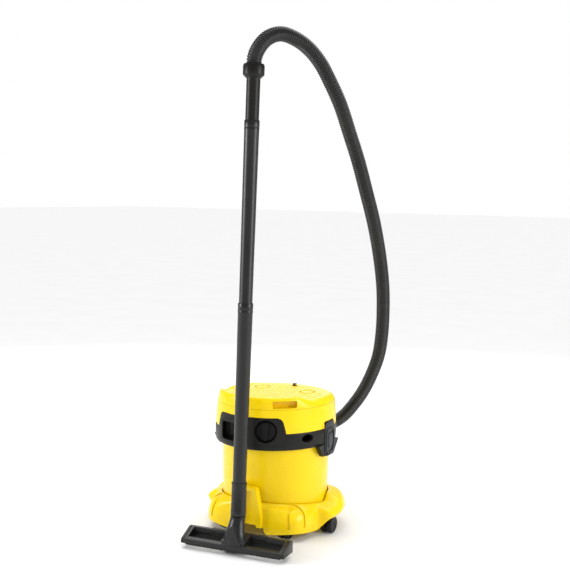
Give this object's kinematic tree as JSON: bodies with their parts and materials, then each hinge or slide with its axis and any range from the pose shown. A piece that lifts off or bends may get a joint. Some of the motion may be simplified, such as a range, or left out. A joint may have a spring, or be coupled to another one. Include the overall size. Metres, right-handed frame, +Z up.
{
  "type": "drum vacuum cleaner",
  "caption": "Wet and dry drum vacuum on swivel casters, with latched motor head, corrugated hose, two-piece wand and framed floor nozzle.",
  "frame": {"origin": "bottom centre of the bounding box of everything but the hose, on the floor", "axes": "+Z up; the machine's front, with the switch, faces -Y; +X is to the right for somebody who stands in front of it and looks along +Y"},
  "size_m": [0.4269, 0.6325, 1.3456],
  "materials": {
    "yellow_plastic": "satin injection-moulded plastic",
    "black_plastic": "satin black plastic",
    "grey_plastic": "satin dark grey plastic",
    "rubber": "matt rubber",
    "hose_plastic": "corrugated satin black plastic",
    "aluminium": "pressed aluminium",
    "steel": "steel",
    "winding": "varnished copper windings",
    "filter_paper": "pleated filter paper",
    "foam": "light plastic float"
  },
  "bodies": {
    "machine": {"container": "yellow_plastic", "chassis": "yellow_plastic", "inlet_port": "black_plastic", "inlet_elbow": "black_plastic", "hose_connector": "black_plastic", "suction_hose": "hose_plastic"},
    "head": {"head_base": "black_plastic", "head_cover": "yellow_plastic", "top_cover": "yellow_plastic", "control_panel": "black_plastic", "switch_body": "grey_plastic", "cable_hook": "black_plastic", "cord_gland": "rubber", "head_seal": "rubber", "fan_housing": "black_plastic", "motor_housing": "black_plastic", "motor_stator": "winding", "filter_cage": "black_plastic", "cartridge_filter": "filter_paper"},
    "left_latch": {"latch_left": "black_plastic"},
    "right_latch": {"latch_right": "black_plastic"},
    "knob": {"switch_knob": "grey_plastic"},
    "motor_shaft": {"motor_rotor": "steel", "impeller": "aluminium"},
    "shutoff_float": {"float": "foam"},
    "filter_lid": {"filter_cap": "black_plastic"},
    "wand": {"hose_cuff": "black_plastic", "upper_tube": "grey_plastic", "lower_tube": "grey_plastic"},
    "floor_nozzle": {"nozzle_sleeve": "grey_plastic", "nozzle_body": "grey_plastic", "nozzle_end_cap_left": "grey_plastic", "nozzle_end_cap_right": "grey_plastic", "nozzle_front_strip": "rubber", "nozzle_rear_strip": "rubber"},
    "caster_front_left": {"caster_yoke_front_left": "black_plastic"},
    "wheels_front_left": {"caster_wheels_front_left": "grey_plastic"},
    "caster_front_right": {"caster_yoke_front_right": "black_plastic"},
    "wheels_front_right": {"caster_wheels_front_right": "grey_plastic"},
    "caster_side_left": {"caster_yoke_side_left": "black_plastic"},
    "wheels_side_left": {"caster_wheels_side_left": "grey_plastic"},
    "caster_side_right": {"caster_yoke_side_right": "black_plastic"},
    "wheels_side_right": {"caster_wheels_side_right": "grey_plastic"},
    "caster_rear": {"caster_yoke_rear": "black_plastic"},
    "wheels_rear": {"caster_wheels_rear": "grey_plastic"}
  },
  "joints": [
    {"name": "head_lift", "type": "slide", "parent": "machine", "child": "head", "axis": [0, 0, 1], "range_m": [0, 0.13]},
    {"name": "left_latch_swing", "type": "hinge", "parent": "head", "child": "left_latch", "pos_m": [-0.1575, 0.04627, 0.296], "axis": [0, 1, 0], "range_deg": [0, 30]},
    {"name": "right_latch_swing", "type": "hinge", "parent": "head", "child": "right_latch", "pos_m": [0.1575, 0.04627, 0.296], "axis": [0, -1, 0], "range_deg": [0, 30]},
    {"name": "switch_turn", "type": "hinge", "parent": "head", "child": "knob", "pos_m": [0.05253, -0.11541, 0.297], "axis": [-0.309, 0.9511, 0], "range_deg": [0, 90]},
    {"name": "motor_spin", "type": "hinge", "parent": "head", "child": "motor_shaft", "pos_m": [0, 0.04627, 0.275], "axis": [0, 0, 1], "continuous": true},
    {"name": "float_rise", "type": "slide", "parent": "head", "child": "shutoff_float", "axis": [0, 0, 1], "range_m": [0, 0.017]},
    {"name": "filter_lid_turn", "type": "hinge", "parent": "head", "child": "filter_lid", "pos_m": [0, 0.04627, 0.166], "axis": [0, 0, 1], "range_deg": [0, 60]},
    {"name": "wand_lift", "type": "slide", "parent": "machine", "child": "wand", "axis": [0, 0, 1], "range_m": [0, 0.06], "deforming": ["suction_hose"]},
    {"name": "nozzle_twist", "type": "hinge", "parent": "wand", "child": "floor_nozzle", "pos_m": [0.026, -0.20963, 0.14], "axis": [0, 0.0436, 0.9991], "range_deg": [-35, 35]},
    {"name": "caster_swivel_front_left", "type": "hinge", "parent": "machine", "child": "caster_front_left", "pos_m": [-0.09, -0.05073, 0.055], "axis": [0, 0, 1], "continuous": true},
    {"name": "wheel_roll_front_left", "type": "hinge", "parent": "caster_front_left", "child": "wheels_front_left", "pos_m": [-0.09, -0.06573, 0.023], "axis": [1, 0, 0], "continuous": true},
    {"name": "caster_swivel_front_right", "type": "hinge", "parent": "machine", "child": "caster_front_right", "pos_m": [0.09, -0.05073, 0.055], "axis": [0, 0, 1], "continuous": true},
    {"name": "wheel_roll_front_right", "type": "hinge", "parent": "caster_front_right", "child": "wheels_front_right", "pos_m": [0.09, -0.06573, 0.023], "axis": [1, 0, 0], "continuous": true},
    {"name": "caster_swivel_side_left", "type": "hinge", "parent": "machine", "child": "caster_side_left", "pos_m": [-0.17, 0.05227, 0.055], "axis": [0, 0, 1], "continuous": true},
    {"name": "wheel_roll_side_left", "type": "hinge", "parent": "caster_side_left", "child": "wheels_side_left", "pos_m": [-0.17, 0.03727, 0.023], "axis": [1, 0, 0], "continuous": true},
    {"name": "caster_swivel_side_right", "type": "hinge", "parent": "machine", "child": "caster_side_right", "pos_m": [0.17, 0.05227, 0.055], "axis": [0, 0, 1], "continuous": true},
    {"name": "wheel_roll_side_right", "type": "hinge", "parent": "caster_side_right", "child": "wheels_side_right", "pos_m": [0.17, 0.03727, 0.023], "axis": [1, 0, 0], "continuous": true},
    {"name": "caster_swivel_rear", "type": "hinge", "parent": "machine", "child": "caster_rear", "pos_m": [0, 0.21227, 0.055], "axis": [0, 0, 1], "continuous": true},
    {"name": "wheel_roll_rear", "type": "hinge", "parent": "caster_rear", "child": "wheels_rear", "pos_m": [0, 0.19727, 0.023], "axis": [1, 0, 0], "continuous": true}
  ]
}
